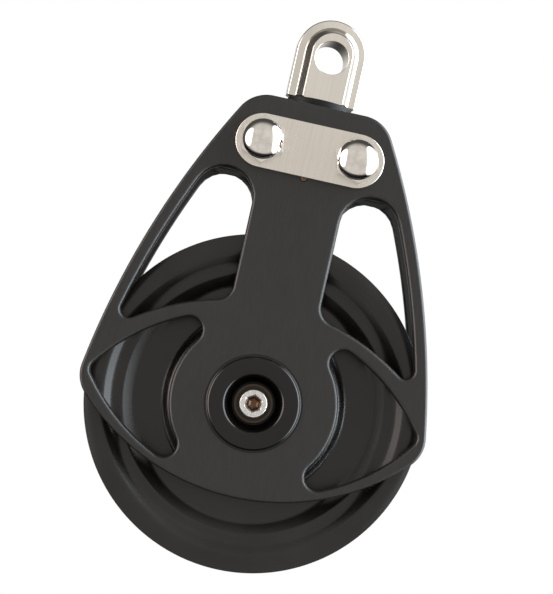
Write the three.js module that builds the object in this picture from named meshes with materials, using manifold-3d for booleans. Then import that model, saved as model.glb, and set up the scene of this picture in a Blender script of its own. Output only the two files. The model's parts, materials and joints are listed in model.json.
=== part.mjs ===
// Single sheave block with a swivel eye, for rope up to 20 mm. Millimetres, +Z up.
// The origin is the centre of the eye's hole. The block hangs below it and its front faces -Y.
// The block's own group is set out from the sheave's axis: x across, z along the block.
import * as THREE from "three";
import { mergeVertices } from "three/addons/utils/BufferGeometryUtils.js";
import Module from "manifold-3d";

const wasm = await Module();
wasm.setup();

// ---- Driving dimensions ----
const SHEAVE_R = 80; // outer radius of the sheave
const ROPE_R = 10; // largest rope that the groove takes
const EYE_HEIGHT = 167; // from the sheave's axis to the centre of the eye's hole
const EYE_TURN = THREE.MathUtils.degToRad(5); // how far the eye stands turned at rest
const CHEEK_GAP = 26; // between the two cheeks
const CHEEK_T = 8; // thickness of a cheek
const HEAD_Z = 120.3; // height of the head bolts
const BOLT_X = 22.35; // each head bolt from the middle
const BOLT_R = 6; // M12 head bolts
const SCREW_R = 3.85; // M8 axle screws
const FIT = 0.3; // clearance round a piece in its hole, and beside a moving piece
const SEAT = 0.1; // gap between faces that rest on each other

// ---- Sizes that follow ----
const INNER_Y = CHEEK_GAP / 2; // inside face of a cheek
const OUTER_Y = INNER_Y + CHEEK_T; // outside face of a cheek
const CHEEK_BEVEL = 1.2;
const HUB_BORE_R = 22.8; // hole in the cheek for the axle disc
const HEAD_TOP = 142.3; // top edge of the cheeks
const PLATE_W = 70.2;
const PLATE_H = 25.4;
const PLATE_T = 3;
const PLATE_Y = OUTER_Y + SEAT + PLATE_T; // outside face of a head plate
const HEX_M12 = 19; // across the flats
const PIN_R = 1.5;
const PIN_Z = 107.5;
const BEARING_Y = 9.9; // half width of the races
const ROLLERS = 14;

// ---- Solids and booleans ----
function solidOf(geometry) {
  const bare = geometry.clone();
  bare.deleteAttribute("normal");
  bare.deleteAttribute("uv");
  const merged = mergeVertices(bare, 1e-4);
  const vertProperties = merged.attributes.position.array;
  const triVerts = new Uint32Array(merged.index.array);
  const made = new wasm.Manifold(new wasm.Mesh({ numProp: 3, vertProperties, triVerts }));
  if (made.volume() > 0) return made;
  triVerts.reverse();
  return new wasm.Manifold(new wasm.Mesh({ numProp: 3, vertProperties, triVerts }));
}

function geometryOf(solid) {
  const mesh = solid.getMesh();
  const geometry = new THREE.BufferGeometry();
  geometry.setAttribute("position", new THREE.BufferAttribute(mesh.vertProperties, 3));
  geometry.setIndex(new THREE.BufferAttribute(mesh.triVerts, 1));
  geometry.computeVertexNormals();
  return geometry;
}

const cut = (geometry, ...tools) =>
  geometryOf(tools.reduce((left, tool) => left.subtract(solidOf(tool)), solidOf(geometry)));
const join = (geometry, ...more) =>
  geometryOf(more.reduce((sum, piece) => sum.add(solidOf(piece)), solidOf(geometry)));

// A closed profile of [radius, y] points turned about the Y axis.
function turned(profile, steps = 24) {
  const points = [...profile, profile[0]].map(([r, y]) => new THREE.Vector2(r, y));
  return geometryOf(solidOf(new THREE.LatheGeometry(points, steps)));
}

// A plain ring between two radii and two heights along Y.
const ring = (inner, outer, low, high, steps) =>
  turned([[inner, low], [outer, low], [outer, high], [inner, high]], steps);

// A rod along Y from low to high, at x and z.
function rod(radius, low, high, x = 0, z = 0, steps = 16) {
  const geometry = new THREE.CylinderGeometry(radius, radius, high - low, steps);
  return geometry.translate(x, (low + high) / 2, z);
}

const upright = (geometry) => geometry.rotateX(Math.PI / 2); // turns the Y axis onto Z

// An outline in x and z made into a slab from inner to outer, towards -Y, with chamfered edges.
function slab(shape, inner, outer, bevel = 0) {
  const options = { depth: outer - inner - 2 * bevel, curveSegments: 8 };
  const edges = { bevelThickness: bevel, bevelSize: bevel, bevelOffset: -bevel, bevelSegments: 1 };
  const geometry = new THREE.ExtrudeGeometry(shape, { ...options, ...edges, bevelEnabled: bevel > 0 });
  return upright(geometry.translate(0, 0, inner + bevel));
}

// ---- Outlines with rounded corners ----
// A side is a circle that the outline keeps within or beyond, or a straight edge that faces n.
const within = (x, z, r) => ({ x, z, r, facing: 1 });
const beyond = (x, z, r) => ({ x, z, r, facing: -1 });
const edge = (nx, nz, reach) => ({ nx, nz, reach });

// How far a point lies outside a side, and which way is out.
function outside(side, x, z) {
  if (side.r === undefined) {
    return { gap: side.nx * x + side.nz * z - side.reach, nx: side.nx, nz: side.nz };
  }
  const away = Math.hypot(x - side.x, z - side.z);
  const nx = (side.facing * (x - side.x)) / away;
  const nz = (side.facing * (z - side.z)) / away;
  return { gap: side.facing * (away - side.r), nx, nz };
}

// The arc of a corner's radius that touches two sides, found from a point near the corner.
function corner(before, after, { radius, near: [x, z] }, steps) {
  for (let turn = 0; turn < 40; turn++) {
    const a = outside(before, x, z);
    const b = outside(after, x, z);
    const det = a.nx * b.nz - a.nz * b.nx;
    x -= ((a.gap + radius) * b.nz - (b.gap + radius) * a.nz) / det;
    z -= ((b.gap + radius) * a.nx - (a.gap + radius) * b.nx) / det;
  }
  const a = outside(before, x, z);
  const b = outside(after, x, z);
  const start = Math.atan2(a.nz, a.nx);
  const sweep = Math.atan2(a.nx * b.nz - a.nz * b.nx, a.nx * b.nx + a.nz * b.nz);
  return Array.from({ length: steps + 1 }, (_, i) => {
    const angle = start + (sweep * i) / steps;
    return [x + radius * Math.cos(angle), z + radius * Math.sin(angle)];
  });
}

// The points of a curved side from one corner to the next, without its ends.
function along(side, [x0, z0], [x1, z1], steps) {
  if (side.r === undefined) return [];
  const start = Math.atan2(z0 - side.z, x0 - side.x);
  const turn = Math.atan2(z1 - side.z, x1 - side.x) - start;
  const sweep = Math.atan2(Math.sin(turn), Math.cos(turn));
  return Array.from({ length: steps - 1 }, (_, i) => {
    const angle = start + (sweep * (i + 1)) / steps;
    return [side.x + side.r * Math.cos(angle), side.z + side.r * Math.sin(angle)];
  });
}

// Corner i lies between side i and the side after it, going round anticlockwise from the front.
function rounded(sides, corners, sideSteps = 5, cornerSteps = 3) {
  const next = (i) => (i + 1) % sides.length;
  const arcs = corners.map((c, i) => corner(sides[i], sides[next(i)], c, cornerSteps));
  return arcs.flatMap((arc, i) => [
    ...arc,
    ...along(sides[next(i)], arc.at(-1), arcs[next(i)][0], sideSteps),
  ]);
}

const asShape = (points) => new THREE.Shape(points.map(([x, z]) => new THREE.Vector2(x, z)));
const ringOf = (radius, count) =>
  Array.from({ length: count }, (_, i) => {
    const angle = (2 * Math.PI * i) / count;
    return [radius * Math.cos(angle), radius * Math.sin(angle)];
  });
const mirrored = (points) => points.map(([x, z]) => [-x, z]).reverse();

// ---- Cheeks ----
const SIDE_X = 309.4; // a cheek's side arc is centred this far over on the other side
const SIDE_Z = -59.5;
const SIDE_R = 396;
const LENS_Z = 63.9; // centres of the arcs above and below the hub
const LENS_R = 108.6;
const RIM_W = 6; // width of the cheek beside an upper window
const WEB_X = 21; // half width of the web above the hub
const WINDOW_Z = 54.3; // centres of the arcs above and below a lower window
const WINDOW_R = 95.6;
const HUB_R = 39.4; // cheek's disc round the hub

const cheekOutline = rounded(
  [
    within(-SIDE_X, SIDE_Z, SIDE_R),
    edge(0, 1, HEAD_TOP),
    within(SIDE_X, SIDE_Z, SIDE_R),
    within(0, LENS_Z, LENS_R),
  ],
  [
    { radius: 16.3, near: [20, 126] },
    { radius: 16.3, near: [-20, 126] },
    { radius: 15.5, near: [-68, 0] },
    { radius: 15.5, near: [68, 0] },
  ],
  10,
  8,
);

const upperWindow = rounded(
  [
    beyond(0, -LENS_Z, LENS_R + 2.5),
    within(-SIDE_X, SIDE_Z, SIDE_R - RIM_W),
    edge(-1, 0, -WEB_X),
  ],
  [
    { radius: 4, near: [67, 26] },
    { radius: 13.95, near: [35, 90] },
    { radius: 7.7, near: [29, 52] },
  ],
);

const lowerWindow = rounded(
  [
    within(0, WINDOW_Z, WINDOW_R),
    within(0, -WINDOW_Z, WINDOW_R),
    beyond(0, 0, HUB_R),
  ],
  [
    { radius: 3, near: [74, 0] },
    { radius: 6.3, near: [36, 27] },
    { radius: 6.3, near: [36, -27] },
  ],
);

function cheek() {
  const shape = asShape(cheekOutline);
  const windows = [upperWindow, mirrored(upperWindow), lowerWindow, mirrored(lowerWindow)];
  shape.holes = [...windows, ringOf(HUB_BORE_R, 32)].map(asShape);
  const low = -OUTER_Y - 1;
  const high = -INNER_Y + 1;
  const boltHole = (x) => rod(BOLT_R + FIT, low, high, x, HEAD_Z);
  const pinHole = rod(PIN_R + FIT, low, high, 0, PIN_Z, 12);
  const body = slab(shape, INNER_Y, OUTER_Y, CHEEK_BEVEL);
  return cut(body, boltHole(-BOLT_X), boltHole(BOLT_X), pinHole);
}

// ---- Head: plates, block, bolts and nuts ----
function headPlate() {
  const end = PLATE_H / 2;
  const reach = PLATE_W / 2 - end;
  const shape = new THREE.Shape();
  shape.absarc(reach, HEAD_Z, end, -Math.PI / 2, Math.PI / 2);
  shape.absarc(-reach, HEAD_Z, end, Math.PI / 2, (3 * Math.PI) / 2);
  const holes = [-BOLT_X, BOLT_X].map((x) => rod(BOLT_R + FIT, -PLATE_Y - 1, 0, x, HEAD_Z));
  return cut(slab(shape, OUTER_Y + SEAT, PLATE_Y, 0.4), ...holes);
}

const SHANK_R = 7; // stem of the eye
const HEAD_LOW = 104.5; // underside of the head block
const POCKET_R = 11.5; // room for the swivel nut
const POCKET_TOP = 119;

function headBlock() {
  const half = INNER_Y - SEAT;
  const shape = asShape(
    rounded(
      [
        within(-SIDE_X, SIDE_Z, SIDE_R - 3),
        edge(0, 1, HEAD_TOP - 1),
        within(SIDE_X, SIDE_Z, SIDE_R - 3),
        edge(0, -1, -HEAD_LOW),
      ],
      [
        { radius: 14, near: [20, 126] },
        { radius: 14, near: [-20, 126] },
        { radius: 4, near: [-42, 109] },
        { radius: 4, near: [42, 109] },
      ],
    ),
  );
  const bore = upright(rod(SHANK_R + FIT, HEAD_LOW - 1, HEAD_TOP + 1, 0, 0, 20));
  const pocket = upright(rod(POCKET_R, HEAD_LOW - 1, POCKET_TOP, 0, 0, 24));
  const holes = [-BOLT_X, BOLT_X].map((x) => rod(BOLT_R + FIT, -half - 1, half + 1, x, HEAD_Z));
  return cut(slab(shape, -half, half, 1), bore, pocket, ...holes);
}

const DOME_R = 9.4; // edge of the dome on a bolt or a nut
const DOME_RISE = 5;
const BOLT_HEX_H = 5.5; // height of the hexagon below the dome
const NUT_HEX_H = 6.8;

// A hexagon on the plane y = -base with a dome on it, towards -Y.
function domedHex(acrossFlats, base, hexHeight, turn) {
  const cornerR = acrossFlats / Math.sqrt(3);
  const height = hexHeight + DOME_RISE;
  const hex = new THREE.CylinderGeometry(cornerR, cornerR, height, 6);
  hex.rotateY(turn).translate(0, -base - height / 2, 0);
  const sphereR = (DOME_R ** 2 + DOME_RISE ** 2) / (2 * DOME_RISE);
  const sphereY = sphereR - base - height;
  const steps = 4;
  const dome = Array.from({ length: steps + 1 }, (_, i) => {
    const angle = (Math.asin(DOME_R / sphereR) * i) / steps;
    return [sphereR * Math.sin(angle), sphereY - sphereR * Math.cos(angle)];
  });
  dome.push([cornerR + 1, -base - hexHeight + 1], [cornerR + 1, -base + 1], [0, -base + 1]);
  return geometryOf(solidOf(hex).intersect(solidOf(turned(dome, 24))));
}

const BOLT_TIP_Y = PLATE_Y + SEAT + 6.5; // rear end of a head bolt, inside its nut

function headBolt(turn) {
  const shank = rod(BOLT_R, -PLATE_Y - SEAT - 1, BOLT_TIP_Y);
  return join(domedHex(HEX_M12, PLATE_Y + SEAT, BOLT_HEX_H, turn), shank);
}

function headNut(turn) {
  const bore = rod(BOLT_R + FIT, -BOLT_TIP_Y - FIT, 0);
  return cut(domedHex(HEX_M12, PLATE_Y + SEAT, NUT_HEX_H, turn), bore);
}

// ---- Swivel eye ----
const EYE_BASE = 146.2;
const EYE_ARC_Z = 169.2; // centre of the eye's round end
const EYE_HOLE_R = 7.9;
const SHANK_END = 105.5;
const NUT_R = 10.8;
const NUT_LOW = 107;
const NUT_H = 9.5;
const LOCK_PIN_R = 1.2;
const LOCK_PIN_Z = 110.5;

// Half the eye's cross-section as [distance from its middle, y], from the front boss to the back.
const EYE_SECTION = [
  [9.2, -10], [9.9, -9.3], [12.8, -5], [15.9, -4.3], [16.6, -3.5], [16.6, 0],
  [16.6, 3.5], [15.9, 4.3], [12.8, 5], [9.9, 9.3], [9.2, 10],
];

// The section carried up one side, round the end and down the other, closed by flat faces.
function eyeBody(steps = 12) {
  const loop = (reach, y) => {
    const arc = Array.from({ length: steps + 1 }, (_, i) => {
      const angle = (Math.PI * i) / steps;
      return [reach * Math.cos(angle), y, EYE_ARC_Z + reach * Math.sin(angle)];
    });
    return [[reach, y, EYE_BASE], ...arc, [-reach, y, EYE_BASE]];
  };
  const loops = EYE_SECTION.map(([reach, y]) => loop(reach, y));
  const size = loops[0].length;
  const positions = loops.flat(2);
  const index = [];
  for (let row = 0; row + 1 < loops.length; row++) {
    for (let i = 0; i < size; i++) {
      const a = row * size + i;
      const b = row * size + ((i + 1) % size);
      index.push(a, b, a + size, b, b + size, a + size);
    }
  }
  const back = (loops.length - 1) * size;
  for (let i = 1; i + 1 < size; i++) {
    index.push(0, i + 1, i, back, back + i, back + i + 1);
  }
  const geometry = new THREE.BufferGeometry();
  geometry.setAttribute("position", new THREE.Float32BufferAttribute(positions, 3));
  geometry.setIndex(index);
  return geometry;
}

function swivelEye() {
  const r = EYE_HOLE_R;
  const bore = turned([[0, -11], [r + 1.3, -11], [r, -9.7], [r, 9.7], [r + 1.3, 11], [0, 11]], 28);
  bore.translate(0, 0, EYE_HEIGHT);
  const shank = upright(rod(SHANK_R, SHANK_END, EYE_BASE + 1, 0, 0, 20));
  const pinHole = rod(LOCK_PIN_R + FIT, -12, 12, 0, LOCK_PIN_Z, 12);
  return cut(join(eyeBody(), shank), bore, pinHole);
}

function swivelNut() {
  const nut = upright(ring(SHANK_R + FIT, NUT_R, NUT_LOW, NUT_LOW + NUT_H, 24));
  return cut(nut, rod(LOCK_PIN_R + FIT, -12, 12, 0, LOCK_PIN_Z, 12));
}

const thrustWasher = () =>
  upright(ring(SHANK_R + FIT, NUT_R, NUT_LOW + NUT_H + SEAT, POCKET_TOP - FIT, 24));
const lockPin = () => rod(LOCK_PIN_R, -NUT_R + 0.8, NUT_R - 0.8, 0, LOCK_PIN_Z, 12);
const headWasher = () =>
  upright(ring(SHANK_R + FIT, 15.5, HEAD_TOP + FIT, EYE_BASE - FIT, 32));

// ---- Axle and what clamps it, each side's pieces measured outwards from the middle ----
const AXLE_R = 12;
const SPIGOT_R = 7.7;
const SPIGOT_Y = 11.9; // end of the axle
const DISC_IN = 10.3; // inside face of the axle disc
const DISC_OUT = OUTER_Y + 1.5; // outside face of the axle disc
const DISC_FLOOR = 13.8; // bottom of its counterbore
const DISC_R = HUB_BORE_R - FIT;
const DISC_FACE_R = 21.4;
const COUNTERBORE_R = 13.3;
const WASHER_T = 1.6;
const SCREW_HEAD_R = 6.5;
const SCREW_HEAD_H = 5;
const SCREW_TIP = 2.2; // from the middle of the axle

function axle() {
  const profile = [
    [0, -SPIGOT_Y], [SPIGOT_R, -SPIGOT_Y], [SPIGOT_R, -BEARING_Y], [AXLE_R, -BEARING_Y],
    [AXLE_R, BEARING_Y], [SPIGOT_R, BEARING_Y], [SPIGOT_R, SPIGOT_Y], [0, SPIGOT_Y],
  ];
  const hole = rod(SCREW_R + FIT, SCREW_TIP - FIT, SPIGOT_Y + 1);
  return cut(turned(profile), hole, hole.clone().rotateZ(Math.PI));
}

function axleDisc() {
  const edgeR = 0.8; // chamfer of the outside edges
  const profile = [
    [SPIGOT_R + FIT, -DISC_IN], [DISC_R, -DISC_IN], [DISC_R, -OUTER_Y], [DISC_FACE_R, -OUTER_Y],
    [DISC_FACE_R, -DISC_OUT + edgeR], [DISC_FACE_R - edgeR, -DISC_OUT],
    [COUNTERBORE_R + edgeR, -DISC_OUT], [COUNTERBORE_R, -DISC_OUT + edgeR],
    [COUNTERBORE_R, -DISC_FLOOR], [SCREW_R + 0.6, -DISC_FLOOR],
    [SCREW_R + 0.6, -SPIGOT_Y - FIT], [SPIGOT_R + FIT, -SPIGOT_Y - FIT],
  ];
  return turned(profile, 32);
}

const axleWasher = () =>
  ring(SCREW_R + FIT, 9.6, -DISC_FLOOR - SEAT - WASHER_T, -DISC_FLOOR - SEAT, 28);

function axleScrew() {
  const under = DISC_FLOOR + WASHER_T + 2 * SEAT;
  const top = under + SCREW_HEAD_H;
  const head = turned(
    [
      [0, -under], [SCREW_HEAD_R, -under], [SCREW_HEAD_R, -top + 0.5],
      [SCREW_HEAD_R - 0.5, -top], [0, -top],
    ],
    28,
  );
  const socket = new THREE.CylinderGeometry(3.46, 3.46, 3.2, 6);
  socket.rotateY(Math.PI / 6).translate(0, -top + 1.4, 0);
  return cut(join(head, rod(SCREW_R, -under - 0.5, -SCREW_TIP)), socket);
}

const cheekPin = () => rod(PIN_R, -OUTER_Y + SEAT, -INNER_Y - SEAT, 0, PIN_Z, 12);
const THRUST_IN = 29.3; // inner radius of the side thrust rings
const THRUST_OUT = 34.7;
const thrustRing = () => ring(THRUST_IN, THRUST_OUT, -INNER_Y + FIT, -10.9);

// ---- Sheave and its roller bearing ----
const BORE_R = 26.3; // hole in the sheave for the outer race
const SHEAVE_Y = INNER_Y - 1; // half width of the sheave
const GROOVE_BOTTOM = 67;
const RACE_IN_R = 16; // outer radius of the inner race
const ROLLER_R = 3.05;
const ORBIT_R = RACE_IN_R + FIT + ROLLER_R; // centres of the rollers
const RACE_OUT_R = ORBIT_R + ROLLER_R + FIT; // inner radius of the outer race
const RACE_RING_Y = [BEARING_Y + 0.4, 11.5]; // the race rings lie between these

function sheave() {
  const grooveR = ROPE_R + 0.4;
  const grooveC = GROOVE_BOTTOM + grooveR;
  const half = [
    [BORE_R, SHEAVE_Y],
    [THRUST_IN - FIT, SHEAVE_Y], [THRUST_IN - FIT, 10.6], [THRUST_OUT + FIT, 10.6],
    [THRUST_OUT + FIT, SHEAVE_Y], [38.8, SHEAVE_Y], [41.3, 9.4], [41.3, 6],
    [57, 6], [62.5, 8.8], [66.5, 8.8], [73, SHEAVE_Y], [77, SHEAVE_Y], [SHEAVE_R, 10.4],
  ];
  const start = Math.asin((SHEAVE_R - grooveC) / grooveR);
  for (let i = 0; i < 4; i++) {
    const angle = start - ((start + Math.PI / 2) * i) / 4;
    half.push([grooveC + grooveR * Math.sin(angle), grooveR * Math.cos(angle)]);
  }
  half.push([GROOVE_BOTTOM, 0]);
  const other = half.slice(0, -1).map(([r, y]) => [r, -y]).reverse();
  return turned([...half, ...other], 40);
}

const raceRing = () => ring(DISC_R + 0.5, BORE_R - FIT, -RACE_RING_Y[1], -RACE_RING_Y[0]);

function rollerCage() {
  const cage = ring(ORBIT_R - 1.75, ORBIT_R + 1.75, -BEARING_Y, BEARING_Y, 42);
  const pockets = rollerPlaces().map(([x, z]) => rod(ROLLER_R + FIT, -8.1, 8.1, x, z, 10));
  return cut(cage, ...pockets);
}

const rollerPlaces = () => ringOf(ORBIT_R, ROLLERS);

// ---- Materials ----
const metal = (color, roughness) =>
  new THREE.MeshStandardMaterial({ color, roughness, metalness: 1 });
const plastic = (color) => new THREE.MeshStandardMaterial({ color, roughness: 0.6, metalness: 0 });
const BLACK = metal(0x3a3837, 0.45);
const STAINLESS = metal(0xc8beb2, 0.35);
const POLISHED = metal(0xe0dcd6, 0.08);
const DARK_STEEL = metal(0x4a443c, 0.4);
const STEEL = metal(0xb4b4b4, 0.25);
const ACETAL = plastic(0x1c1b1b);
const BRONZE = metal(0x6b5138, 0.5);

// ---- Assembly ----
function add(group, name, geometry, material) {
  const mesh = new THREE.Mesh(geometry, material);
  mesh.name = name;
  group.add(mesh);
  return mesh;
}

const eyeTurned = new THREE.Group();
eyeTurned.rotation.z = EYE_TURN;
add(eyeTurned, "swivel_eye", swivelEye(), STAINLESS);
add(eyeTurned, "swivel_nut", swivelNut(), STEEL);
add(eyeTurned, "swivel_thrust_washer", thrustWasher(), BRONZE);
add(eyeTurned, "nut_lock_pin", lockPin(), STEEL);

const block = new THREE.Group();
block.position.z = -EYE_HEIGHT;
block.add(eyeTurned);
add(block, "head_block", headBlock(), STAINLESS);
add(block, "head_washer", headWasher(), ACETAL);

const HEX_TURNS = { left: 38, right: 46.5 }; // degrees that each bolt was left at when tightened
for (const [side, x] of [["left", -BOLT_X], ["right", BOLT_X]]) {
  const turn = THREE.MathUtils.degToRad(30 - HEX_TURNS[side]);
  add(block, `head_bolt_${side}`, headBolt(turn), POLISHED).position.set(x, 0, HEAD_Z);
  const nut = add(block, `head_nut_${side}`, headNut(turn), POLISHED);
  nut.position.set(x, 0, HEAD_Z);
  nut.rotation.z = Math.PI;
}

add(block, "axle", axle(), STEEL);
add(block, "inner_race", ring(AXLE_R + FIT, RACE_IN_R, -BEARING_Y, BEARING_Y, 32), STEEL);

for (const [side, turn] of [["front", 0], ["rear", Math.PI]]) {
  const half = new THREE.Group();
  half.rotation.z = turn;
  block.add(half);
  add(half, `${side}_cheek`, cheek(), BLACK);
  add(half, `${side}_head_plate`, headPlate(), STAINLESS);
  add(half, `${side}_axle_disc`, axleDisc(), BLACK);
  add(half, `${side}_axle_washer`, axleWasher(), DARK_STEEL);
  add(half, `${side}_axle_screw`, axleScrew(), STAINLESS);
  add(half, `${side}_cheek_pin`, cheekPin(), BRONZE);
  add(half, `${side}_thrust_ring`, thrustRing(), ACETAL);
  add(half, `${side}_race_ring`, raceRing(), STEEL);
}

add(block, "sheave", sheave(), BLACK);
add(block, "outer_race", ring(RACE_OUT_R, BORE_R - FIT, -BEARING_Y, BEARING_Y, 40), STEEL);
add(block, "roller_cage", rollerCage(), BRONZE);
rollerPlaces().forEach(([x, z], i) => {
  const name = `roller_${String(i + 1).padStart(2, "0")}`;
  add(block, name, rod(ROLLER_R, -7.8, 7.8, 0, 0, 12), STEEL).position.set(x, 0, z);
});

const model = new THREE.Group();
model.add(block);
export default model;
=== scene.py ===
"""Looks of the single sheave block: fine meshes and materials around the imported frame.

Outlines are set out in millimetres from the sheave's axis, with x across, z along the block
and y through it, and become metres in the frame when a piece is made. The front faces -Y.
"""
import json
import math

import bmesh
import bpy
from mathutils import Matrix, Vector
from mathutils.geometry import tessellate_polygon


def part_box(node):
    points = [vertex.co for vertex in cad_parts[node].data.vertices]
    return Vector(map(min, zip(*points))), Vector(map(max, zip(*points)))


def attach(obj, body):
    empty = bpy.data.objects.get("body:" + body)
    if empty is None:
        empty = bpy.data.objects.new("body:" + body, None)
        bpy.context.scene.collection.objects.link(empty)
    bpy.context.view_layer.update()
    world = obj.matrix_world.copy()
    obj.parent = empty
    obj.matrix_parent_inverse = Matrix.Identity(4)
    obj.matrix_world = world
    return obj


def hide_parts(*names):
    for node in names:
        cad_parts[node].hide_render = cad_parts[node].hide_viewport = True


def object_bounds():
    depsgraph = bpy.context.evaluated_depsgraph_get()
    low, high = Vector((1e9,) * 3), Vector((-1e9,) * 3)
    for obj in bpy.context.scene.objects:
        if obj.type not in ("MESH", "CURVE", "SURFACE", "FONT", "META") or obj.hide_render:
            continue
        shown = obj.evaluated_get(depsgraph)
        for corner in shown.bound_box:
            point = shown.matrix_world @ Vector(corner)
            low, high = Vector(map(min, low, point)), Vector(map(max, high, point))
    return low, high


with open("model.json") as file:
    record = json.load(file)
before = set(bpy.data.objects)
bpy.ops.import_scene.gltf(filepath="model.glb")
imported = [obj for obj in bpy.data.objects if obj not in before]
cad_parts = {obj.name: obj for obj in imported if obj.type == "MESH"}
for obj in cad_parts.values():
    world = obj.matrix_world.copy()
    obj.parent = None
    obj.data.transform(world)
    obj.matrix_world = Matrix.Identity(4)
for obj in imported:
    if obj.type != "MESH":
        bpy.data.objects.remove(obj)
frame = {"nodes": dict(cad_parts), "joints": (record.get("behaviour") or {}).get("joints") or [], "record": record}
cad_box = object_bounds()

MM = 0.001
JOINTS = {joint["name"]: joint for joint in frame["joints"]}
HUB = Vector(JOINTS["sheave_spin"]["pos_m"])


def extent(node):
    """A CAD node's lowest and highest corner in millimetres from the sheave's axis."""
    low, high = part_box(node)
    return (low - HUB) / MM, (high - HUB) / MM


# ---- Sizes read from the frame ----
CHEEK_LOW, CHEEK_HIGH = extent("front_cheek")
PLATE_LOW, PLATE_HIGH = extent("front_head_plate")
BOLT_LOW = extent("head_bolt_right")[0]
NUT_HIGH = extent("head_nut_right")[1]
DISC_LOW, DISC_HIGH = extent("front_axle_disc")
WASHER_LOW, WASHER_HIGH = extent("front_axle_washer")
SCREW_LOW, SCREW_HIGH = extent("front_axle_screw")
SHEAVE_HIGH = extent("sheave")[1]
EYE_LOW, EYE_HIGH = extent("swivel_eye")
RING_LOW, RING_HIGH = extent("head_washer")
BLOCK_LOW, BLOCK_HIGH = extent("head_block")
PIN_LOW, PIN_HIGH = extent("front_cheek_pin")

INNER_Y = -CHEEK_HIGH.y  # inside face of a cheek, from the middle
OUTER_Y = -CHEEK_LOW.y  # outside face of a cheek
SHEAVE_R = SHEAVE_HIGH.x
SHEAVE_Y = SHEAVE_HIGH.y  # half width of the sheave
PIN_Z = (PIN_LOW.z + PIN_HIGH.z) / 2
EYE_Z = -HUB.z / MM  # the eye's hole is at the frame's origin
HEAD_Z = (PLATE_LOW.z + PLATE_HIGH.z) / 2
BOLT_X = 22.35  # each head bolt from the middle
HEX_TURNS = {"left": 38.0, "right": 46.5}  # how far each bolt's hexagon is turned, in degrees
PIN_R = 1.5
SCREW_R = 3.85  # M8 axle screws
SCREW_HEAD_R = 6.5
WASHER_R = 9.6
BORE_R = 22.8  # hole in a cheek for the axle disc
SEAT = 0.1  # gap between faces that rest on each other
EYE_TURN = math.radians(5)  # the eye stands turned a little at rest


# ---- Outlines with rounded corners ----
# A side is (kind, a, b, size, facing), and an outline is what lies inside all of its sides.
def within(x, z, r):
    """A side that keeps what is inside a circle."""
    return ("arc", x, z, r, 1.0)


def beyond(x, z, r):
    """A side that keeps what is outside a circle."""
    return ("arc", x, z, r, -1.0)


def edge(nx, nz, reach):
    """A straight side, by its outward direction and its distance from the sheave's axis."""
    return ("line", nx, nz, reach, 0.0)


def outside(side, x, z, inset):
    """How far a point lies outside a side that is moved in by inset, and which way is out."""
    kind, a, b, size, facing = side
    if kind == "line":
        return a * x + b * z - size + inset, a, b
    away = math.hypot(x - a, z - b)
    return facing * (away - size) + inset, facing * (x - a) / away, facing * (z - b) / away


def corner(before, after, radius, near, inset, steps):
    """The arc that rounds the corner between two sides."""
    x, z = near
    radius -= inset
    for _ in range(40):
        ga, ax, az = outside(before, x, z, inset)
        gb, bx, bz = outside(after, x, z, inset)
        det = ax * bz - az * bx
        x -= ((ga + radius) * bz - (gb + radius) * az) / det
        z -= ((gb + radius) * ax - (ga + radius) * bx) / det
    start = math.atan2(az, ax)
    sweep = math.atan2(ax * bz - az * bx, ax * bx + az * bz)
    angles = [start + sweep * i / steps for i in range(steps + 1)]
    return [(x + radius * math.cos(t), z + radius * math.sin(t)) for t in angles]


def along(side, first, last, steps):
    """The points of a side from one corner to the next, without its ends."""
    kind, a, b, _, _ = side
    shares = [(i + 1) / steps for i in range(steps - 1)]
    if kind == "line":
        return [tuple(p + (q - p) * t for p, q in zip(first, last)) for t in shares]
    start = math.atan2(first[1] - b, first[0] - a)
    turn = math.atan2(last[1] - b, last[0] - a) - start
    sweep = math.atan2(math.sin(turn), math.cos(turn))
    r = math.hypot(first[0] - a, first[1] - b)
    angles = [start + sweep * t for t in shares]
    return [(a + r * math.cos(t), b + r * math.sin(t)) for t in angles]


def rounded(sides, corners, inset=0.0, side_steps=20, corner_steps=10):
    """Corner i is (radius, point near it), between side i and the next, going anticlockwise."""
    count = len(sides)
    arcs = [
        corner(sides[i], sides[(i + 1) % count], radius, near, inset, corner_steps)
        for i, (radius, near) in enumerate(corners)
    ]
    points = []
    for i, arc in enumerate(arcs):
        following = (i + 1) % count
        points += arc + along(sides[following], arc[-1], arcs[following][0], side_steps)
    return points


def flipped(points):
    return [(-x, z) for x, z in reversed(points)]


def circle(x, z, radius, steps=64):
    turns = [2 * math.pi * i / steps for i in range(steps)]
    return [(x + radius * math.cos(t), z + radius * math.sin(t)) for t in turns]


SIDE_X, SIDE_Z = 309.4, -59.5  # centre of the arc along the cheek's other side
SIDE_R = 395.97  # keeps the arc a hair inside the CAD's faceted edge
LENS_Z, LENS_R = 63.9, 108.6  # the lens round the hub: its lower arc is the cheek's foot
WINDOW_Z, WINDOW_R = 54.3, 95.6  # the arcs above and below a lower window
RIM_W = 6  # width of the cheek beside an upper window
WINDOW_FOOT = 2.5  # how far an upper window's foot stands off the arc of the lens
WEB_X = 21  # half width of the web above the hub
HUB_R = 39.4  # the cheek's disc round the hub
BLOCK_IN = 3.0  # how far the head block stays inside the cheeks' sides


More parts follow.
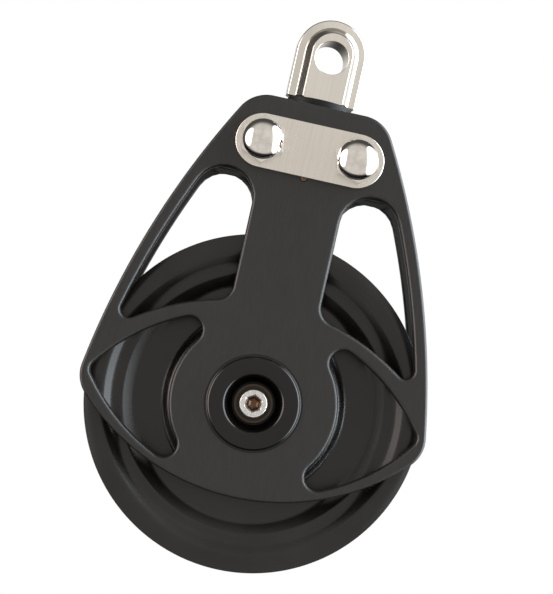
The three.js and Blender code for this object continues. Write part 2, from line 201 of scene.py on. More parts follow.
def cheek_outline(inset, side=0.0, low=None):
    """The cheek's outline, or the head block's when low is the height of its straight underside."""
    reach = SIDE_R - side
    bottom = within(0, LENS_Z, LENS_R) if low is None else edge(0, -1, -low)
    top = CHEEK_HIGH.z if low is None else BLOCK_HIGH.z
    head_r = 16.3 if low is None else 14.0
    foot_r = 15.5 if low is None else 4
    foot_x, foot_z = (68, 0) if low is None else (42, 109)
    sides = [within(-SIDE_X, SIDE_Z, reach), edge(0, 1, top), within(SIDE_X, SIDE_Z, reach), bottom]
    head = [(head_r, (20, 126)), (head_r, (-20, 126))]
    corners = [*head, (foot_r, (-foot_x, foot_z)), (foot_r, (foot_x, foot_z))]
    return rounded(sides, corners, inset, 36, 12)


def upper_window(inset):
    foot = beyond(0, -LENS_Z, LENS_R + WINDOW_FOOT)
    sides = [foot, within(-SIDE_X, SIDE_Z, SIDE_R - RIM_W), edge(-1, 0, -WEB_X)]
    corners = [(4, (67, 26)), (13.95, (35, 90)), (7.7, (29, 52))]
    return rounded(sides, corners, -inset)


def lower_window(inset):
    sides = [within(0, WINDOW_Z, WINDOW_R), within(0, -WINDOW_Z, WINDOW_R), beyond(0, 0, HUB_R)]
    corners = [(4.6, (74, 0)), (6.3, (36, 27)), (6.3, (36, -27))]
    return rounded(sides, corners, -inset)


def stadium(inset, half_width, half_height, z, steps=32):
    r = half_height - inset
    reach = half_width - half_height
    arc = [math.pi * i / steps - math.pi / 2 for i in range(steps + 1)]
    right = [(reach + r * math.cos(t), z + r * math.sin(t)) for t in arc]
    return right + [(-x, 2 * z - h) for x, h in right]


# ---- Meshes ----
def quarter(radius, steps=6):
    """How far in and how far down a rounded edge is, from the face to the wall."""
    turns = [math.pi / 2 * i / steps for i in range(steps + 1)]
    return [(radius * (1 - math.sin(t)), radius * (1 - math.cos(t))) for t in turns]


def edge_rows(front, back, front_r, back_r, steps=6):
    """[inset, y] from the front face, round its edge, down the wall and round the back edge."""
    rows = [(inset, front + down) for inset, down in quarter(front_r, steps)]
    rows += [(inset, back - down) for inset, down in reversed(quarter(back_r, steps))]
    return rows


class Mesh:
    """Gathers rings and faces in millimetres from the sheave's axis."""

    def __init__(self):
        self.points = []
        self.faces = []

    def ring(self, points, y):
        start = len(self.points)
        self.points += [(x, y, z) for x, z in points]
        return list(range(start, len(self.points)))

    def add(self, points):
        start = len(self.points)
        self.points += points
        return list(range(start, len(self.points)))

    def join(self, first, second):
        count = len(first)
        for i in range(count):
            j = (i + 1) % count
            self.faces.append((first[i], first[j], second[j], second[i]))

    def chain(self, rings):
        for first, second in zip(rings, rings[1:]):
            self.join(first, second)

    def fill(self, *loops):
        """A flat face between an outer loop and any holes in it."""
        index = [i for loop in loops for i in loop]
        corners = [[Vector(self.points[i]) for i in loop] for loop in loops]
        self.faces += [tuple(index[i] for i in face) for face in tessellate_polygon(corners)]

    def piece(self, name, sharp=50, place=None):
        mesh = bpy.data.meshes.new(name)
        points = [tuple(HUB + Vector(p) * MM) for p in self.points]
        mesh.from_pydata(points, [], self.faces)
        built = bmesh.new()
        built.from_mesh(mesh)
        bmesh.ops.remove_doubles(built, verts=built.verts, dist=1e-7)
        bmesh.ops.recalc_face_normals(built, faces=built.faces)
        built.to_mesh(mesh)
        built.free()
        if place is not None:
            mesh.transform(place)
        mesh.polygons.foreach_set("use_smooth", [True] * len(mesh.polygons))
        mesh.set_sharp_from_angle(angle=math.radians(sharp))
        made = bpy.data.objects.new(name, mesh)
        bpy.context.scene.collection.objects.link(made)
        weighted = made.modifiers.new("normals", "WEIGHTED_NORMAL")
        weighted.keep_sharp = True
        weighted.weight = 100
        return made


def slab(name, outline, holes, rows, hole_rows, place=None):
    """A plate: its outline and its holes are functions of inset, carried through rows of [inset, y]."""
    mesh = Mesh()
    outer = [mesh.ring(outline(inset), y) for inset, y in rows]
    mesh.chain(outer)
    inner = [[mesh.ring(hole(inset), y) for inset, y in hole_rows] for hole in holes]
    for rings in inner:
        mesh.chain(rings)
    mesh.fill(outer[0], *[rings[0] for rings in inner])
    mesh.fill(outer[-1], *[rings[-1] for rings in inner])
    return mesh.piece(name, place=place)


def softened(profile, steps=5):
    """A closed profile of [r, y, corner radius] with its corners rounded."""
    points = []
    count = len(profile)
    for i, (r, y, radius) in enumerate(profile):
        here = Vector((r, y))
        before = Vector(profile[i - 1][:2]) - here
        after = Vector(profile[(i + 1) % count][:2]) - here
        if radius == 0 or before.length == 0 or after.length == 0:
            points.append((r, y))
            continue
        half = before.angle(after) / 2
        back = min(radius / math.tan(half), before.length * 0.48, after.length * 0.48)
        bend = back * math.tan(half)
        middle = here + (before.normalized() + after.normalized()).normalized() * (bend / math.sin(half))
        first = here + before.normalized() * back - middle
        last = here + after.normalized() * back - middle
        start = math.atan2(first.y, first.x)
        sweep = math.atan2(first.x * last.y - first.y * last.x, first.dot(last))
        for k in range(steps + 1):
            turn = start + sweep * k / steps
            points.append((middle.x + bend * math.cos(turn), middle.y + bend * math.sin(turn)))
    return points


def turned(name, profile, steps=160, place=None, sharp=50):
    """A closed profile of [r, y, corner radius] turned about the sheave's axis."""
    mesh = Mesh()
    spin = [2 * math.pi * i / steps for i in range(steps)]
    rings = []
    for r, y in softened(profile):
        if r < 1e-6:
            rings.append(mesh.add([(0, y, 0)]) * steps)
        else:
            rings.append(mesh.ring([(r * math.cos(t), r * math.sin(t)) for t in spin], y))
    for first, second in zip(rings, rings[1:] + rings[:1]):
        for i in range(steps):
            j = (i + 1) % steps
            face = list(dict.fromkeys((first[i], first[j], second[j], second[i])))
            if len(face) > 2:
                mesh.faces.append(tuple(face))
    return mesh.piece(name, sharp=sharp, place=place)


# ---- Materials ----
NOISE_SPAN = (0.3, 0.7)  # nearly all of a noise's values lie between these


class Nodes:
    """A short way to write a material's node tree."""

    def __init__(self, name):
        self.material = bpy.data.materials.new(name)
        self.material.use_nodes = True
        self.tree = self.material.node_tree
        self.shader = self.tree.nodes["Principled BSDF"]
        self.place = self.node("ShaderNodeTexCoord").outputs["Object"]

    def node(self, kind, **settings):
        made = self.tree.nodes.new(kind)
        for key, value in settings.items():
            setattr(made, key, value)
        return made

    def link(self, out, socket):
        self.tree.links.new(out, socket)

    def noise(self, vector, scale, detail=3.0, roughness=0.5):
        made = self.node("ShaderNodeTexNoise")
        self.link(vector, made.inputs["Vector"])
        made.inputs["Scale"].default_value = scale
        made.inputs["Detail"].default_value = detail
        made.inputs["Roughness"].default_value = roughness
        return made.outputs["Fac"]

    def stretched(self, x, y, z):
        """The object's coordinates scaled on each axis; a small number draws the grain out along it."""
        made = self.node("ShaderNodeMapping")
        self.link(self.place, made.inputs["Vector"])
        made.inputs["Scale"].default_value = (x, y, z)
        return made.outputs["Vector"]

    def radial(self):
        """A coordinate that runs outwards from the sheave's axis, for turning marks."""
        moved = self.node("ShaderNodeVectorMath", operation="SUBTRACT")
        self.link(self.place, moved.inputs[0])
        moved.inputs[1].default_value = HUB
        split = self.node("ShaderNodeSeparateXYZ")
        self.link(moved.outputs[0], split.inputs[0])
        flat = self.node("ShaderNodeCombineXYZ")
        self.link(split.outputs["X"], flat.inputs["X"])
        self.link(split.outputs["Z"], flat.inputs["Z"])
        length = self.node("ShaderNodeVectorMath", operation="LENGTH")
        self.link(flat.outputs[0], length.inputs[0])
        made = self.node("ShaderNodeCombineXYZ")
        self.link(length.outputs["Value"], made.inputs["X"])
        self.link(split.outputs["Y"], made.inputs["Y"])
        return made.outputs[0]

    def span(self, value, low, high):
        """A noise's value brought to between low and high."""
        made = self.node("ShaderNodeMapRange")
        self.link(value, made.inputs["Value"])
        made.inputs["From Min"].default_value = NOISE_SPAN[0]
        made.inputs["From Max"].default_value = NOISE_SPAN[1]
        made.inputs["To Min"].default_value = low
        made.inputs["To Max"].default_value = high
        return made.outputs["Result"]

    def colours(self, value, first, second):
        """A blend from the first colour to the second as a noise's value rises."""
        made = self.node("ShaderNodeValToRGB")
        self.link(value, made.inputs["Fac"])
        made.color_ramp.elements[0].position = 0.32
        made.color_ramp.elements[1].position = 0.68
        made.color_ramp.elements[0].color = (*first, 1)
        made.color_ramp.elements[1].color = (*second, 1)
        return made.outputs["Color"]

    def bump(self, height, strength, distance, before=None):
        made = self.node("ShaderNodeBump")
        self.link(height, made.inputs["Height"])
        made.inputs["Strength"].default_value = strength
        made.inputs["Distance"].default_value = distance
        if before is not None:
            self.link(before, made.inputs["Normal"])
        return made.outputs["Normal"]

    def finish(self, colour, roughness, normal, metallic, **fixed):
        self.link(colour, self.shader.inputs["Base Color"])
        self.link(roughness, self.shader.inputs["Roughness"])
        if normal is not None:
            self.link(normal, self.shader.inputs["Normal"])
        self.shader.inputs["Metallic"].default_value = metallic
        for key, value in fixed.items():
            self.shader.inputs[key.replace("_", " ")].default_value = value
        return self.material


def anodised(name, dark, light, grain, rough=(0.36, 0.46)):
    """Black hard-anodised aluminium with a fine machined grain."""
    n = Nodes(name)
    lines = n.noise(n.stretched(*grain), 1.0, 5.0, 0.6)
    blotch = n.noise(n.place, 35.0, 4.0)
    speckle = n.noise(n.place, 5200.0, 2.0)
    # Its gloss varies three fifths with the grain and two fifths with the blotches
    mix = n.node("ShaderNodeMath", operation="MULTIPLY_ADD")
    n.link(lines, mix.inputs[0])
    mix.inputs[1].default_value = 0.6
    share = n.node("ShaderNodeMath", operation="MULTIPLY")
    n.link(blotch, share.inputs[0])
    share.inputs[1].default_value = 0.4
    n.link(share.outputs[0], mix.inputs[2])
    streaks = n.noise(n.stretched(1700.0, 1700.0, 110.0), 1.0, 3.0, 0.6)
    colour = n.colours(streaks, dark, light)
    normal = n.bump(speckle, 0.10, 0.00004, n.bump(lines, 0.12, 0.00005))
    return n.finish(colour, n.span(mix.outputs[0], *rough), normal, 0.0, Specular_IOR_Level=0.5)


def anodised_turned(name, dark, light, rough=(0.24, 0.32), shine=0.45):
    """Black hard-anodised aluminium with turning marks round the sheave's axis."""
    n = Nodes(name)
    rings = n.noise(n.radial(), 2600.0, 3.0, 0.6)
    blotch = n.noise(n.place, 40.0, 4.0)
    speckle = n.noise(n.place, 5200.0, 2.0)
    colour = n.colours(blotch, dark, light)
    normal = n.bump(speckle, 0.08, 0.00004, n.bump(rings, 0.12, 0.00004))
    return n.finish(colour, n.span(blotch, *rough), normal, 0.0, Specular_IOR_Level=shine)


def steel(name, dark, light, rough, grain, strength=0.1):
    """Steel or bronze with a fine grain; the stretch of the grain says which way it runs."""
    n = Nodes(name)
    lines = n.noise(n.stretched(*grain), 1.0, 4.0, 0.6)
    smudge = n.noise(n.place, 60.0, 5.0, 0.6)
    streaks = n.noise(n.stretched(*[scale / 5 for scale in grain]), 1.0, 3.0, 0.6)
    colour = n.colours(streaks, dark, light)
    normal = n.bump(lines, strength, 0.00003)
    return n.finish(colour, n.span(smudge, *rough), normal, 1.0)


def turned_steel(name, dark, light, rough):
    """Steel with visible turning marks round the sheave's axis."""
    n = Nodes(name)
    rings = n.noise(n.radial(), 1900.0, 2.0, 0.6)
    colour = n.colours(rings, dark, light)
    return n.finish(colour, n.span(rings, *rough), n.bump(rings, 0.4, 0.00005), 1.0)


def socket_steel(name, dark, light, rough):
    """Bright steel with a coarse struck face; down in its hex recess the colour fades to a dull brown as painted
    shade.
    """
    n = Nodes(name)
    struck = n.noise(n.place, 1500.0, 3.0, 0.6)
    colour = n.colours(struck, dark, light)
    split = n.node("ShaderNodeSeparateXYZ")
    n.link(n.place, split.inputs[0])
    depth = n.node("ShaderNodeMath", operation="ABSOLUTE")
    n.link(split.outputs["Y"], depth.inputs[0])
    # Painted shade: from 0.35 mm below the head's top the colour fades to a dull brown, wholly so from 1.7 mm
    # down, so the hex recess looks shaded
    fall = n.node("ShaderNodeMapRange", interpolation_type="SMOOTHSTEP")
    n.link(depth.outputs[0], fall.inputs["Value"])
    head_y = -SCREW_LOW.y * MM
    fall.inputs["From Min"].default_value = head_y - 1.7 * MM
    fall.inputs["From Max"].default_value = head_y - 0.35 * MM
    recess_shaded_colour = n.node("ShaderNodeMix", data_type="RGBA")
    n.link(fall.outputs["Result"], recess_shaded_colour.inputs["Factor"])
    # the dull brown of the painted shade down in the recess
    recess_shaded_colour.inputs["A"].default_value = (0.11, 0.065, 0.04, 1)
    n.link(colour, recess_shaded_colour.inputs["B"])
    return n.finish(recess_shaded_colour.outputs["Result"], n.span(struck, *rough), n.bump(struck, 0.5, 0.00008), 1.0)


def polymer(name, dark, light, rough):
    n = Nodes(name)
    grain = n.noise(n.place, 3000.0, 2.0)
    colour = n.colours(n.noise(n.place, 50.0, 3.0), dark, light)
    bumps = n.bump(grain, 0.15, 0.00004)
    return n.finish(colour, n.span(grain, *rough), bumps, 0.0, Specular_IOR_Level=0.2)


# How fine a material's grain is along x, y and z
FINE = (5000.0, 5000.0, 90.0)  # drawn out along z
EVEN = (3500.0, 3500.0, 3500.0)

MATERIALS = {
    "anodised_cheek": anodised("cheek_anodising", (0.005, 0.005, 0.005), (0.011, 0.010, 0.009), FINE),
    "anodised_sheave": anodised_turned("turned_anodising", (0.004, 0.0035, 0.003), (0.008, 0.007, 0.006)),
    "hub_anodised": anodised_turned(
        "hub_anodising", (0.002, 0.002, 0.002), (0.004, 0.003, 0.003), (0.15, 0.2), 0.36
    ),
    "head_black": anodised("head_anodising", (0.010, 0.009, 0.009), (0.015, 0.014, 0.014), FINE),
    "satin_stainless": steel("satin_steel", (0.66, 0.62, 0.56), (0.72, 0.68, 0.62), (0.24, 0.32), FINE),
    "eye_stainless": steel("eye_steel", (0.70, 0.665, 0.61), (0.75, 0.715, 0.66), (0.10, 0.16), FINE),
    "polished_stainless": steel(
        "polished_steel", (0.70, 0.665, 0.625), (0.75, 0.715, 0.675), (0.05, 0.09), EVEN, 0.02
    ),
    "screw_steel": socket_steel("socket_screw_steel", (0.52, 0.51, 0.50), (0.86, 0.85, 0.83), (0.22, 0.4)),
    # The washer's steel: a dark turned finish of its own, made darker still as painted shade of the deep
    # counterbore it lies in
    "dark_steel": turned_steel("washer_steel", (0.016, 0.0135, 0.011), (0.075, 0.061, 0.048), (0.26, 0.4)),
    "bearing_steel": steel("bearing_steel", (0.50, 0.50, 0.50), (0.60, 0.60, 0.60), (0.2, 0.3), EVEN),
    "bronze": steel("dull_bronze", (0.13, 0.08, 0.045), (0.20, 0.13, 0.08), (0.4, 0.5), EVEN),
    "acetal_black": polymer("black_acetal", (0.006, 0.006, 0.006), (0.010, 0.010, 0.010), (0.45, 0.6)),
}


def dress(piece, look):
    piece.data.materials.clear()
    piece.data.materials.append(MATERIALS[look])
    return piece


def stands_for(piece, node, body, slot, look=None):
    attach(piece, body)
    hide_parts(node)
    return dress(piece, look or slot)


# ---- Cheeks, plates and head block ----
AT_REAR = Matrix.Rotation(math.pi, 4, "Z")  # the rear half is the front half turned about z
SIDES = (("front", None), ("rear", AT_REAR))


def hub_bore(inset):
    return circle(0, 0, BORE_R + inset * 0.05, 96)  # its edge is only just broken


def bolt_hole(x):
    """A clearance hole for an M12 bolt, hidden under the head plate."""
    return lambda inset: circle(x, HEAD_Z, 6.3, 48)


def pin_hole(inset):
    return circle(0, PIN_Z, PIN_R + 0.3, 24)


def make_cheeks():
    rows = edge_rows(-OUTER_Y, -INNER_Y, 1.5, 0.8)
    hole_rows = edge_rows(-OUTER_Y, -INNER_Y, 1.9, 0.8)
    windows = [upper_window, lower_window]
    holes = windows + [lambda inset, w=w: flipped(w(inset)) for w in windows]
    holes += [hub_bore, bolt_hole(-BOLT_X), bolt_hole(BOLT_X), pin_hole]
    for side, place in SIDES:
        piece = slab(f"{side}_cheek_body", cheek_outline, holes, rows, hole_rows, place)
        stands_for(piece, f"{side}_cheek", "block", "anodised_cheek")


def make_plates():
    half_w = PLATE_HIGH.x
    half_h = (PLATE_HIGH.z - PLATE_LOW.z) / 2
    rows = edge_rows(PLATE_LOW.y, PLATE_HIGH.y, 0.45, 0.3)
    outline = lambda inset: stadium(inset, half_w, half_h, HEAD_Z)
    for side, place in SIDES:
        piece = slab(f"{side}_plate", outline, [], rows, [], place)
        stands_for(piece, f"{side}_head_plate", "block", "satin_stainless")


def make_head_block():
    rows = edge_rows(BLOCK_LOW.y, BLOCK_HIGH.y, 1.0, 1.0)
    outline = lambda inset: cheek_outline(inset, BLOCK_IN, BLOCK_LOW.z)
    stands_for(slab("head_spacer", outline, [], rows, []), "head_block", "block", "head_black")


# ---- Head bolts and nuts ----
HEX_HALF = 9.5  # half the width across flats
DOME_R = 9.4  # edge of the polished dome
DOME_RISE = 5.0
BRIM = 0.06  # how far the ends of the hexagon's wall are drawn in
CHAMFER_FALL = 0.42  # fall of the shoulder round the dome, for each unit outwards


def hexagon(inset, turn, corner_r=0.5):
    faces = [turn + math.pi / 3 * i for i in range(6)]
    sides = [edge(math.cos(face), math.sin(face), HEX_HALF) for face in faces]
    reach = HEX_HALF / math.cos(math.pi / 6) - 1
    spots = [face + math.pi / 6 for face in faces]
    corners = [(corner_r, (reach * math.cos(spot), reach * math.sin(spot))) for spot in spots]
    return rounded(sides, corners, inset, 12, 4)


def domed_head(name, x, turn, top, base, place=None):
    """A hexagon with a chamfered shoulder and a polished dome that rises from it."""
    mesh = Mesh()
    wall = hexagon(0.0, turn)
    top_break, foot_break = 0.1, 0.25  # heights of the broken edges at the wall's ends
    brim = hexagon(BRIM, turn)
    sphere_r = (DOME_R**2 + DOME_RISE**2) / (2 * DOME_RISE)
    widest = math.asin(DOME_R / sphere_r)
    shoulder = top + DOME_RISE
    steps = 18
    rings = []

    def around(outline, height, radius=None):
        """One ring in the outline's directions; without a radius it keeps to the outline."""
        points = []
        for px, pz in outline:
            reach = math.hypot(px, pz)
            r = reach if radius is None else radius
            points.append((x + px / reach * r, height(r), HEAD_Z + pz / reach * r))
        rings.append(mesh.add(points))

    for i in range(1, steps + 1):
        tilt = widest * i / steps
        height = top + sphere_r * (1 - math.cos(tilt))
        around(brim, lambda r, y=height: y, sphere_r * math.sin(tilt))
    around(brim, lambda r: shoulder + (r - DOME_R) * CHAMFER_FALL)
    around(wall, lambda r: shoulder + top_break + (r - DOME_R) * CHAMFER_FALL)
    around(wall, lambda r: base - foot_break)
    around(brim, lambda r: base)
    mesh.chain(rings)
    centre = mesh.add([(x, top, HEAD_Z)])[0]
    first = rings[0]
    mesh.faces += [(centre, first[i], first[(i + 1) % len(first)]) for i in range(len(first))]
    mesh.fill(rings[-1])
    return mesh.piece(name, sharp=24, place=place)


def make_bolts():
    base = PLATE_LOW.y - SEAT
    for side, x in (("left", -BOLT_X), ("right", BOLT_X)):
        turn = math.radians(HEX_TURNS[side] + 30)
        head = domed_head(f"bolt_head_{side}", x, turn, BOLT_LOW.y, base)
        stands_for(head, f"head_bolt_{side}", "block", "polished_stainless")
        nut = domed_head(f"cap_nut_{side}", -x, turn, -NUT_HIGH.y, base, AT_REAR)
        stands_for(nut, f"head_nut_{side}", "block", "polished_stainless")


# ---- Hub: discs, washers, screws and pins ----
def make_hub():
    face, inside = DISC_LOW.y, DISC_HIGH.y
    floor = WASHER_HIGH.y + SEAT  # of the counterbore, which the washer lies in
    spigot_r, spigot_y = 8.0, -12.2  # the recess behind, for the axle's end
    disc_r = BORE_R - 0.02
    hole_r = SCREW_R + 0.6
    disc = [
        (spigot_r, inside, 0), (disc_r, inside, 0.4), (disc_r, -OUTER_Y, 0), (22.0, -OUTER_Y, 0.9),
        (20.9, face, 2.1), (13.5, face, 2.1), (11.0, floor, 1.8), (hole_r, floor, 0.2),
        (hole_r, spigot_y, 0), (spigot_r, spigot_y, 0),
    ]
    inner_r = SCREW_R + 0.3
    washer = [
        (inner_r, WASHER_HIGH.y, 0), (WASHER_R, WASHER_HIGH.y, 0.2), (WASHER_R, WASHER_LOW.y, 0.5),
        (inner_r, WASHER_LOW.y, 0.2),
    ]
    for side, place in SIDES:
        piece = turned(f"{side}_hub_disc", disc, place=place)
        stands_for(piece, f"{side}_axle_disc", "block", "anodised_sheave", "hub_anodised")
        piece = turned(f"{side}_hub_washer", washer, 96, place)
        stands_for(piece, f"{side}_axle_washer", "block", "dark_steel")
        piece = make_screw(f"{side}_socket_screw", place)
        stands_for(piece, f"{side}_axle_screw", "block", "screw_steel")


def make_screw(name, place):
    """Socket head with a hexagonal recess, its mouth chamfered, on a plain shank."""
    top, under, tip = SCREW_LOW.y, WASHER_LOW.y - SEAT, SCREW_HIGH.y
    count = 96
    spin = [2 * math.pi * i / count for i in range(count)]
    mesh = Mesh()

    def loop(r, y):
        return mesh.ring([(r * math.cos(t), r * math.sin(t)) for t in spin], y)

    def hexed(half, y):
        points = []
        for t in spin:
            off = (t - math.pi / 6) % (math.pi / 3) - math.pi / 6
            r = half / math.cos(off)
            points.append((r * math.cos(t), r * math.sin(t)))
        return mesh.ring(points, y)

    outer = [loop(SCREW_HEAD_R - inset, top + down) for inset, down in quarter(0.55)]
    socket = [hexed(0.9, top + 3.0), hexed(2.6, top + 1.9), hexed(3.8, top + 0.15), loop(4.5, top)]
    shank = [loop(SCREW_R, under), loop(SCREW_R, tip - 0.5), loop(SCREW_R - 0.45, tip)]
    rings = [*socket, *outer, loop(SCREW_HEAD_R, under), *shank]
    mesh.chain(rings)
    mesh.fill(rings[0])
    mesh.fill(rings[-1])
    return mesh.piece(name, sharp=35, place=place)


def make_pins():
    rows = edge_rows(PIN_LOW.y, PIN_HIGH.y, 0.3, 0.3, 3)
    outline = lambda inset: circle(0, PIN_Z, PIN_R - inset, 32)
    for side, place in SIDES:
        piece = slab(f"{side}_pin", outline, [], rows, [], place)
        stands_for(piece, f"{side}_cheek_pin", "block", "bronze")


# ---- Sheave ----
def make_sheave():
    groove_r = 10.4  # for 20 mm rope
    centre = 67 + groove_r  # the groove's bottom is 67 from the axis
    start = math.asin((SHEAVE_R - centre) / groove_r)
    half = [
        (26.3, SHEAVE_Y, 0.4), (29.0, SHEAVE_Y, 0.3), (29.0, 10.6, 0.2), (35.0, 10.6, 0.2),
        (35.0, SHEAVE_Y, 0.3), (41.0, SHEAVE_Y, 3.2), (42.0, 6.0, 3.0), (56.2, 6.0, 5.0),
        (61.8, 8.8, 3.0), (66.0, 8.9, 6.0), (71.0, 11.8, 5.0), (76.2, 11.8, 9.0),
        (SHEAVE_R, 10.4, 0.3),
    ]
    steps = 16
    for i in range(1, steps + 1):
        angle = start - (start + math.pi / 2) * i / steps
        half.append((centre + groove_r * math.sin(angle), groove_r * math.cos(angle), 0))
    other = [(r, -y, bend) for r, y, bend in reversed(half[:-1])]
    piece = turned("rope_wheel", half + other, 256)
    stands_for(piece, "sheave", "sheave", "anodised_sheave")


# ---- Swivel eye ----
EYE_RIM = 16.6  # half width of the eye
EYE_Y = 10.0  # half its thickness, at the bosses
EYE_BORE = 7.9
SHANK_R = 7.0


def eye_section():
    """Half the eye's section, from the front boss to the rim's middle: distance out and y."""
    shape = [
        (9.5, -EYE_Y, 0.2), (9.9, -9.5, 0.2), (12.8, -5.0, 0.15), (16.1, -4.3, 0.6),
        (EYE_RIM, -3.7, 0.8), (EYE_RIM, 0.0, 0),
    ]
    closed = [(0.0, -EYE_Y, 0), *shape, (0.0, 0.0, 0)]
    points = softened(closed, 4)
    return points[1:-1]


def make_eye():
    base = RING_HIGH.z + 0.3
    arc_z = EYE_HIGH.z - EYE_RIM
    soft = 0.8  # rounding of the corners at the base
    steps, rises = 40, 8
    half = eye_section()
    section = half + [(reach, -y) for reach, y in reversed(half[:-1])]
    mesh = Mesh()
    rings = []
    for reach, y in section:
        foot = [
            (reach - soft + soft * math.sin(t), base + soft - soft * math.cos(t))
            for t in [math.pi / 2 * i / 4 for i in range(5)]
        ]
        side = [(reach, base + soft + (arc_z - base - soft) * i / rises) for i in range(1, rises)]
        turn = [math.pi * i / steps for i in range(steps + 1)]
        arc = [(reach * math.cos(t), arc_z + reach * math.sin(t)) for t in turn]
        right = foot + side
        rings.append(mesh.ring(right + arc + [(-x, z) for x, z in reversed(right)], y))
    mesh.chain(rings)
    rows = edge_rows(-EYE_Y, EYE_Y, 0.45, 0.45, 4)
    hole = [mesh.ring(circle(0, EYE_Z, EYE_BORE + inset, 72), y) for inset, y in rows]
    mesh.chain(hole)
    mesh.fill(rings[0], hole[0])
    mesh.fill(rings[-1], hole[-1])
    place = Matrix.Rotation(EYE_TURN, 4, "Z")
    piece = mesh.piece("eye_body", place=place)
    stands_for(piece, "swivel_eye", "eye", "satin_stainless", "eye_stainless")
    make_shank(base)


def upright_ring(name, inner, outer, low, high, soft):
    """A ring about the swivel's axis, from height low to high."""
    middle = Matrix.Translation(HUB)
    stand = middle @ Matrix.Rotation(math.pi / 2, 4, "X") @ middle.inverted()
    profile = [(inner, low, 0), (outer, low, soft), (outer, high, soft), (inner, high, 0)]
    return turned(name, profile, 96, stand)


def make_shank(base):
    shank = upright_ring("eye_shank", 0.0, SHANK_R, EYE_LOW.z, base, 0.4)
    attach(shank, "eye")
    dress(shank, "satin_stainless")
    ring = upright_ring("head_ring", SHANK_R + 0.3, RING_HIGH.x, RING_LOW.z, RING_HIGH.z, 0.6)
    stands_for(ring, "head_washer", "block", "acetal_black")


# ---- CAD nodes that stay ----
def dress_frame():
    slots = {part["node"]: part["material_slot"] for part in frame["record"]["subparts"]}
    for node, piece in frame["nodes"].items():
        if not piece.hide_render:
            dress(piece, slots[node])


# ---- Stage, lights and camera ----
def emission(name, colour, strength):
    made = bpy.data.materials.new(name)
    made.use_nodes = True
    tree = made.node_tree
    tree.nodes.clear()
    glow = tree.nodes.new("ShaderNodeEmission")
    glow.inputs["Color"].default_value = (*colour, 1)
    glow.inputs["Strength"].default_value = strength
    out = tree.nodes.new("ShaderNodeOutputMaterial")
    tree.links.new(glow.outputs[0], out.inputs["Surface"])
    return made


def make_stage():
    bpy.ops.mesh.primitive_uv_sphere_add(segments=48, ring_count=24, radius=9)
    backdrop = bpy.context.object
    backdrop.name = "backdrop"
    backdrop.data.materials.append(emission("white_backdrop", (1.0, 1.0, 1.0), 1.0))
    backdrop.visible_diffuse = False
    backdrop.visible_glossy = False
    backdrop.visible_transmission = False
    backdrop.visible_shadow = False
    bpy.ops.mesh.primitive_circle_add(vertices=96, radius=2.0, fill_type="NGON")
    floor = bpy.context.object
    floor.name = "floor"
    floor.location = (0, 0, cad_box[0].z - 0.35)  # well below the block, which hangs
    pale = bpy.data.materials.new("pale_floor")
    pale.use_nodes = True
    pale.node_tree.nodes["Principled BSDF"].inputs["Base Color"].default_value = (0.86, 0.85, 0.83, 1)
    pale.node_tree.nodes["Principled BSDF"].inputs["Roughness"].default_value = 0.8
    floor.data.materials.append(pale)
    floor.visible_glossy = False
    floor.visible_diffuse = False


def softbox(name, place, size, energy, colour):
    lamp = bpy.data.lights.new(name, "AREA")
    lamp.shape = "RECTANGLE"
    lamp.size, lamp.size_y = size
    lamp.energy = energy
    lamp.color = colour
    made = bpy.data.objects.new(name, lamp)
    made.location = place
    aim = Vector((0, 0, HUB.z * 0.7)) - Vector(place)
    made.rotation_mode = "QUATERNION"
    made.rotation_quaternion = aim.to_track_quat("-Z", "Y")
    bpy.context.scene.collection.objects.link(made)
    return made


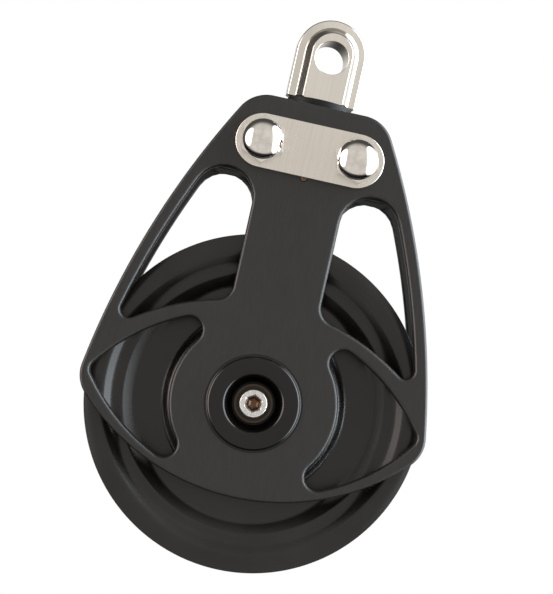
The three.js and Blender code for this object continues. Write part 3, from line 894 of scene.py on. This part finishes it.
class Surroundings:
    """What the studio's cloth, lamps and table look like from the block, as smooth glows."""

    def __init__(self):
        self.world = bpy.data.worlds.new("studio")
        self.world.use_nodes = True
        self.tree = self.world.node_tree
        self.tree.nodes.clear()
        self.direction = self.node("ShaderNodeTexCoord").outputs["Generated"]
        self.split = self.node("ShaderNodeSeparateXYZ")
        self.link(self.direction, self.split.inputs[0])
        self.total = None

    def node(self, kind, **settings):
        made = self.tree.nodes.new(kind)
        for key, value in settings.items():
            setattr(made, key, value)
        return made

    def link(self, out, socket):
        self.tree.links.new(out, socket)

    def sloped(self, value, start, end, first, last):
        made = self.node("ShaderNodeMapRange", interpolation_type="SMOOTHSTEP")
        self.link(value, made.inputs["Value"])
        for key, number in zip(("From Min", "From Max", "To Min", "To Max"), (start, end, first, last)):
            made.inputs[key].default_value = number
        return made.outputs["Result"]

    def times(self, first, second):
        made = self.node("ShaderNodeMath", operation="MULTIPLY")
        self.link(first, made.inputs[0])
        self.link(second, made.inputs[1])
        return made.outputs[0]

    def patches(self, scale, dark, light):
        """Soft uneven patches over the whole surroundings, between dark and light."""
        made = self.node("ShaderNodeTexNoise")
        made.inputs["Scale"].default_value = scale
        made.inputs["Detail"].default_value = 2.0
        self.link(self.direction, made.inputs["Vector"])
        return self.sloped(made.outputs["Fac"], *NOISE_SPAN, dark, light)

    def tall(self, squeeze):
        """The directions with their height squeezed, so that a glow set out in them stands tall."""
        squeezed = self.node("ShaderNodeVectorMath", operation="MULTIPLY")
        self.link(self.direction, squeezed.inputs[0])
        squeezed.inputs[1].default_value = (1.0, 1.0, squeeze)
        made = self.node("ShaderNodeVectorMath", operation="NORMALIZE")
        self.link(squeezed.outputs[0], made.inputs[0])
        return made.outputs[0]

    def lobe(self, directions, towards, edge_angle, core_angle, first, last):
        """A soft patch: last within core_angle of a direction, first beyond edge_angle."""
        made = self.node("ShaderNodeVectorMath", operation="DOT_PRODUCT")
        self.link(directions, made.inputs[0])
        made.inputs[1].default_value = Vector(towards).normalized()
        start, end = math.cos(math.radians(edge_angle)), math.cos(math.radians(core_angle))
        return self.sloped(made.outputs["Value"], start, end, first, last)

    def glow(self, colour, strength):
        made = self.node("ShaderNodeBackground")
        made.inputs["Color"].default_value = (*colour, 1)
        self.link(strength, made.inputs["Strength"])
        if self.total is None:
            self.total = made.outputs[0]
            return
        both = self.node("ShaderNodeAddShader")
        self.link(self.total, both.inputs[0])
        self.link(made.outputs[0], both.inputs[1])
        self.total = both.outputs[0]

    def finish(self):
        out = self.node("ShaderNodeOutputWorld")
        self.link(self.total, out.inputs["Surface"])
        bpy.context.scene.world = self.world


def make_lights():
    """Pale cloth before the block, a dark table behind and below it, and lamps at its sides."""
    around = Surroundings()
    tall = around.tall(0.5)
    cloth = around.sloped(around.split.outputs["Y"], -0.42, 0.10, 0.84, 0.10)
    table = around.lobe(around.direction, (0.0, 0.75, -0.66), 72, 62, 1.0, 0.06)
    room = around.times(around.times(cloth, table), around.patches(1.6, 0.88, 1.08))
    around.glow((1.0, 0.965, 0.92), room)
    glows = [
        ((1.0, 0.98, 0.96), around.direction, (0.0, 0.90, 0.43), 40, 16, 0.7),  # above, behind
        ((0.84, 0.93, 1.0), tall, (1.0, -0.12, 0.22), 39, 20, 9.0),  # the cool lamp on the right
        ((1.0, 0.98, 0.96), tall, (0.80, 0.60, 0.0), 26, 12, 0.8),  # behind it
        ((1.0, 0.87, 0.83), tall, (-0.96, -0.28, 0.0), 22, 8, 6.5),  # the warm lamp on the left
    ]
    for colour, directions, towards, edge_angle, core_angle, strength in glows:
        lobe = around.lobe(directions, towards, edge_angle, core_angle, 0.0, strength)
        around.glow(colour, lobe)
    around.finish()
    lamp = softbox("front_softbox", (-0.3, -1.2, 0.6), (0.9, 0.7), 1.6, (1.0, 0.97, 0.93))
    lamp.visible_glossy = False


# The photo's view, in metres in the frame
CAMERA_AT = (-0.0119, -0.9732, -0.1598)
CAMERA_AIM = (-0.0048, -0.0210, -0.1343)
CAMERA_ROLL = 12.576  # degrees; the block leans in the photo
FOCAL_MM = 124.31


def make_camera():
    lens = bpy.data.cameras.new("camera")
    lens.sensor_width = 36
    lens.lens = FOCAL_MM
    lens.shift_x = 0.03
    lens.shift_y = 0.06
    camera = bpy.data.objects.new("camera", lens)
    camera.location = CAMERA_AT
    aim = Vector(CAMERA_AIM) - camera.location
    roll = Matrix.Rotation(math.radians(CAMERA_ROLL), 4, "Z")
    level = aim.to_track_quat("-Z", "Y").to_matrix().to_4x4()
    camera.rotation_mode = "QUATERNION"
    camera.rotation_quaternion = (level @ roll).to_quaternion()
    bpy.context.scene.collection.objects.link(camera)
    bpy.context.scene.camera = camera


bpy.context.scene.view_settings.view_transform = "Standard"
make_cheeks()
make_plates()
make_head_block()
make_bolts()
make_hub()
make_pins()
make_sheave()
make_eye()
dress_frame()
make_stage()
make_lights()
make_camera()
